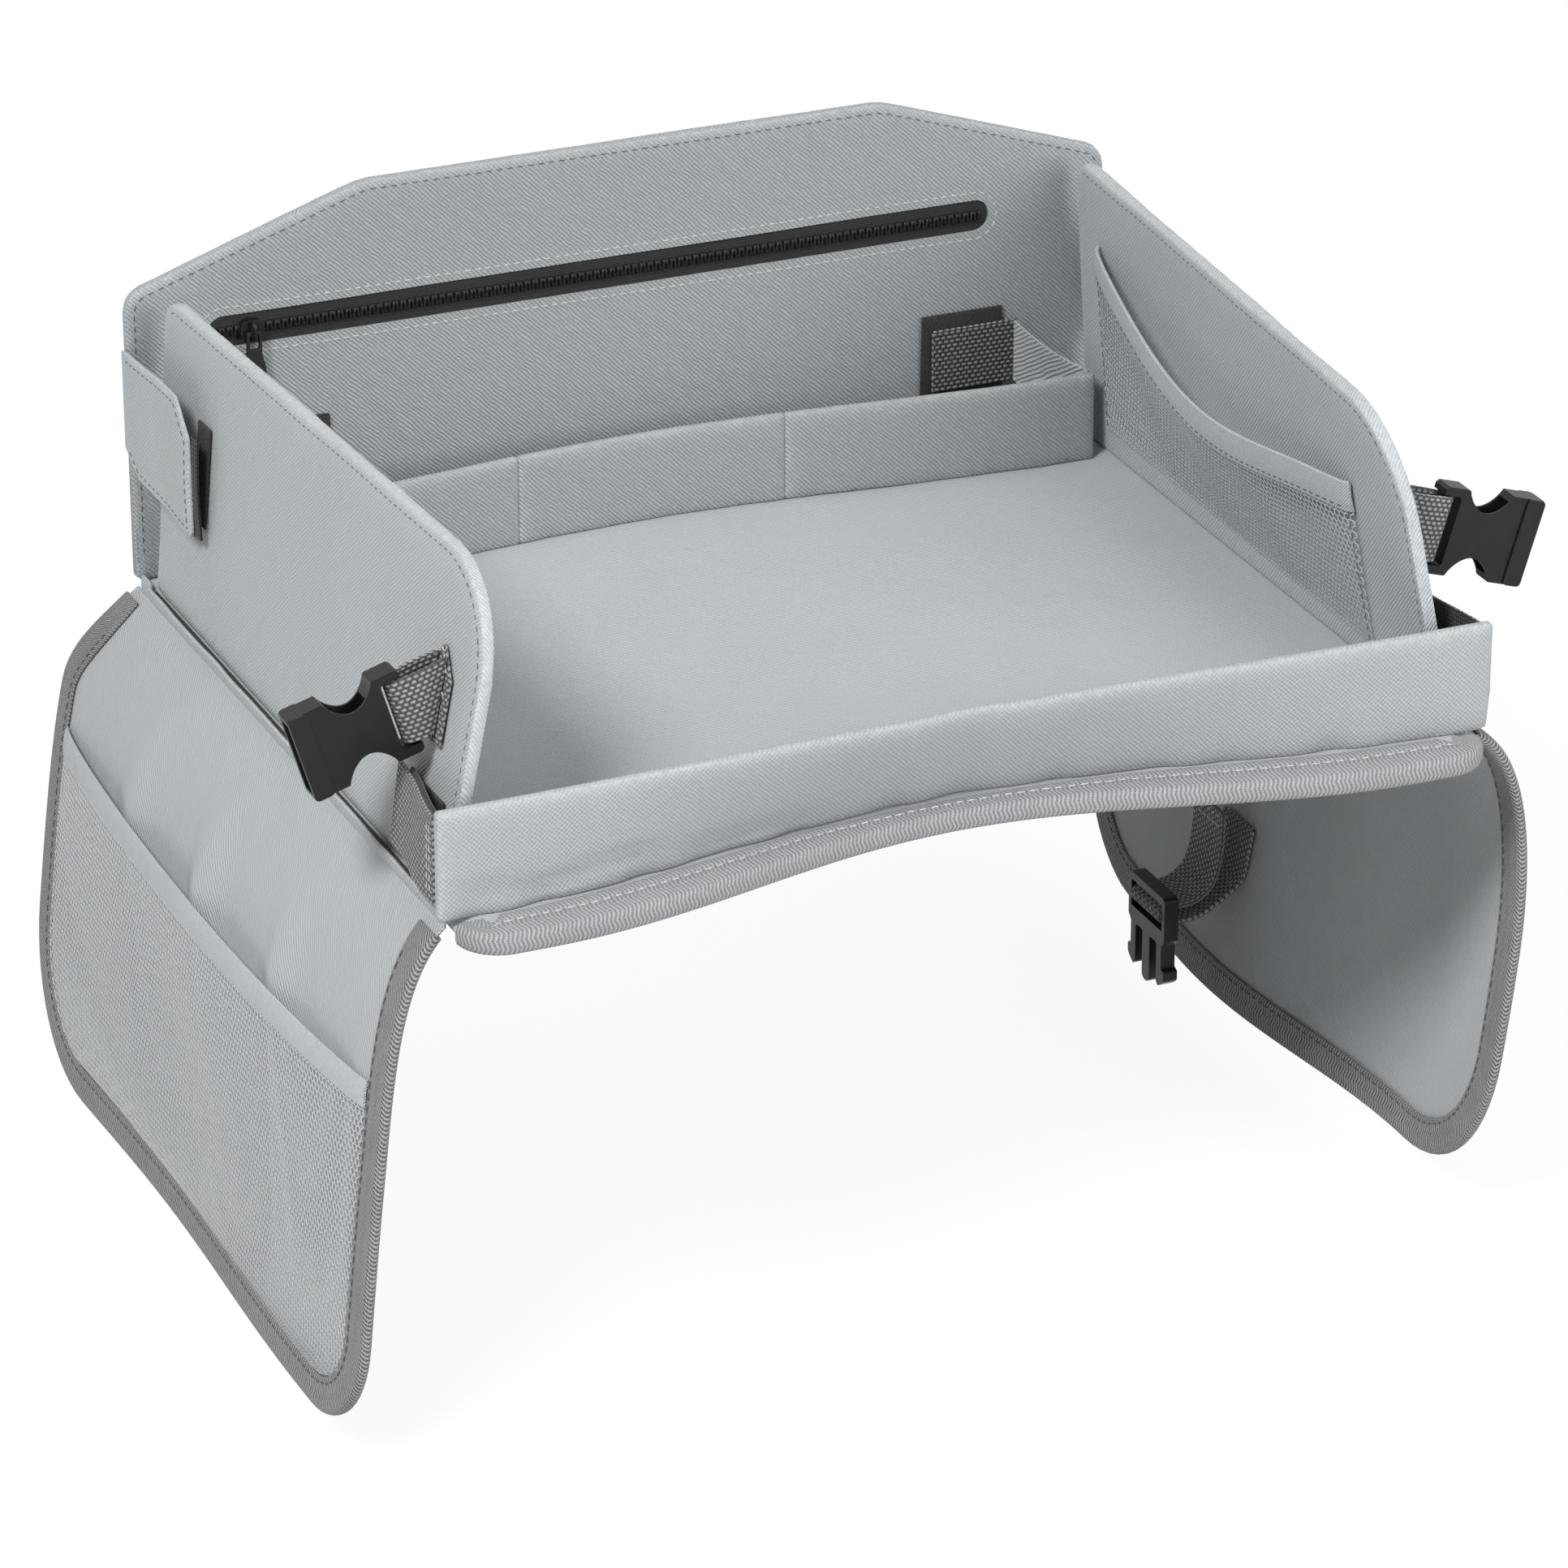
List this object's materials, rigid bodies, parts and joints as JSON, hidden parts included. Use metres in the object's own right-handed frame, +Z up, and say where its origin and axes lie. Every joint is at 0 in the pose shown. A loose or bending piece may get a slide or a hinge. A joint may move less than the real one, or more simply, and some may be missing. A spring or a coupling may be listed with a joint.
{
  "type": "car seat tray table",
  "caption": "Folding fabric travel tray with padded walls, a front rail, a rear divider, net pockets, hanging side flaps and release buckles.",
  "frame": {"origin": "centre of the base board's underside", "axes": "+X to the right as the seated child's parent faces the tray, +Y from the front edge to the back wall, +Z up"},
  "size_m": [0.494, 0.3774, 0.3526],
  "materials": {
    "grey_fabric": "light grey coated oxford weave",
    "grey_tape": "mid grey herringbone binding tape",
    "grey_mesh": "grey open knitted net",
    "grey_webbing": "dark grey ribbed webbing",
    "black_velcro": "black hook and loop tape",
    "black_plastic": "black moulded plastic, satin",
    "black_zip": "black zipper"
  },
  "bodies": {
    "tray": {"base_board": "grey_fabric", "base_front_tape": "grey_tape", "left_front_rail": "grey_fabric", "right_front_rail": "grey_fabric", "left_rail_strap": "grey_webbing", "right_rail_strap": "grey_webbing", "left_rail_hooks": "black_velcro", "right_rail_hooks": "black_velcro", "left_divider": "grey_fabric", "middle_divider": "grey_fabric", "right_divider": "grey_fabric", "left_divider_return": "grey_fabric", "right_divider_return": "grey_fabric", "left_divider_strap": "grey_webbing", "right_divider_strap": "grey_webbing"},
    "back_wall": {"back_wall": "grey_fabric", "zip_tape": "black_zip", "zip_teeth": "black_zip", "left_divider_loops": "black_velcro", "right_divider_loops": "black_velcro"},
    "zip_slider": {"zip_slider": "black_zip"},
    "zip_pull": {"zip_pull": "black_zip"},
    "clip": {"clip": "black_plastic"},
    "left_wall": {"left_wall": "grey_fabric", "left_wall_pocket_net": "grey_mesh", "left_wall_pocket_hem": "grey_fabric", "left_rail_loops": "black_velcro", "left_tab_loops": "black_velcro", "left_buckle_patch": "grey_webbing", "left_buckle_loop": "grey_webbing"},
    "left_buckle": {"left_buckle": "black_plastic"},
    "left_tab": {"left_tab": "grey_fabric", "left_tab_hooks": "black_velcro"},
    "left_flap": {"left_flap": "grey_fabric", "left_flap_tape": "grey_tape", "left_flap_pocket_net": "grey_mesh", "left_flap_pocket_hem": "grey_fabric"},
    "right_wall": {"right_wall": "grey_fabric", "right_wall_pocket_net": "grey_mesh", "right_wall_pocket_hem": "grey_fabric", "right_rail_loops": "black_velcro", "right_tab_loops": "black_velcro", "right_buckle_patch": "grey_webbing", "right_buckle_loop": "grey_webbing"},
    "right_buckle": {"right_buckle": "black_plastic"},
    "right_tab": {"right_tab": "grey_fabric", "right_tab_hooks": "black_velcro"},
    "right_flap": {"right_flap": "grey_fabric", "right_flap_tape": "grey_tape", "right_flap_pocket_net": "grey_mesh", "right_flap_pocket_hem": "grey_fabric", "clip_strap": "grey_webbing"}
  },
  "joints": [
    {"name": "left_wall_fold", "type": "hinge", "parent": "tray", "child": "left_wall", "pos_m": [-0.193, 0.006, 0.0105], "axis": [0, 1, 0], "range_deg": [0, 67], "deforming": ["left_divider", "left_divider_return"]},
    {"name": "right_wall_fold", "type": "hinge", "parent": "tray", "child": "right_wall", "pos_m": [0.193, 0.006, 0.0105], "axis": [0, -1, 0], "range_deg": [0, 67], "deforming": ["right_divider", "right_divider_return"]},
    {"name": "back_wall_fold", "type": "hinge", "parent": "tray", "child": "back_wall", "pos_m": [0, 0.173, 0.0086], "axis": [-1, 0, 0], "range_deg": [0, 90]},
    {"name": "left_tab_open", "type": "hinge", "parent": "back_wall", "child": "left_tab", "pos_m": [-0.2051, 0.1695, 0.0766], "axis": [0, 0, -1], "range_deg": [0, 105]},
    {"name": "left_buckle_swing", "type": "hinge", "parent": "left_wall", "child": "left_buckle", "pos_m": [-0.20238, -0.118, 0.07337], "axis": [-0.2956, 0, 0.9553], "range_deg": [-40, 40]},
    {"name": "left_flap_swing", "type": "hinge", "parent": "tray", "child": "left_flap", "pos_m": [-0.2011, 0.006, 0.003], "axis": [0, 1, 0], "range_deg": [-48, 45]},
    {"name": "right_tab_open", "type": "hinge", "parent": "back_wall", "child": "right_tab", "pos_m": [0.2051, 0.1695, 0.0766], "axis": [0, 0, 1], "range_deg": [0, 105]},
    {"name": "right_buckle_swing", "type": "hinge", "parent": "right_wall", "child": "right_buckle", "pos_m": [0.20238, -0.118, 0.07337], "axis": [0.2956, 0, 0.9553], "range_deg": [-40, 40]},
    {"name": "right_flap_swing", "type": "hinge", "parent": "tray", "child": "right_flap", "pos_m": [0.2011, 0.006, 0.003], "axis": [0, -1, 0], "range_deg": [-48, 45]},
    {"name": "zip_slide", "type": "slide", "parent": "back_wall", "child": "zip_slider", "axis": [1, 0, 0], "range_m": [-0.009, 0.3]},
    {"name": "zip_pull_flip", "type": "hinge", "parent": "zip_slider", "child": "zip_pull", "pos_m": [-0.155, 0.16235, 0.104], "axis": [-1, 0, 0], "range_deg": [0, 175]},
    {"name": "clip_swing", "type": "hinge", "parent": "right_flap", "child": "clip", "pos_m": [0.17444, 0.048, -0.14851], "axis": [0, 1, 0], "range_deg": [-15, 15]}
  ]
}
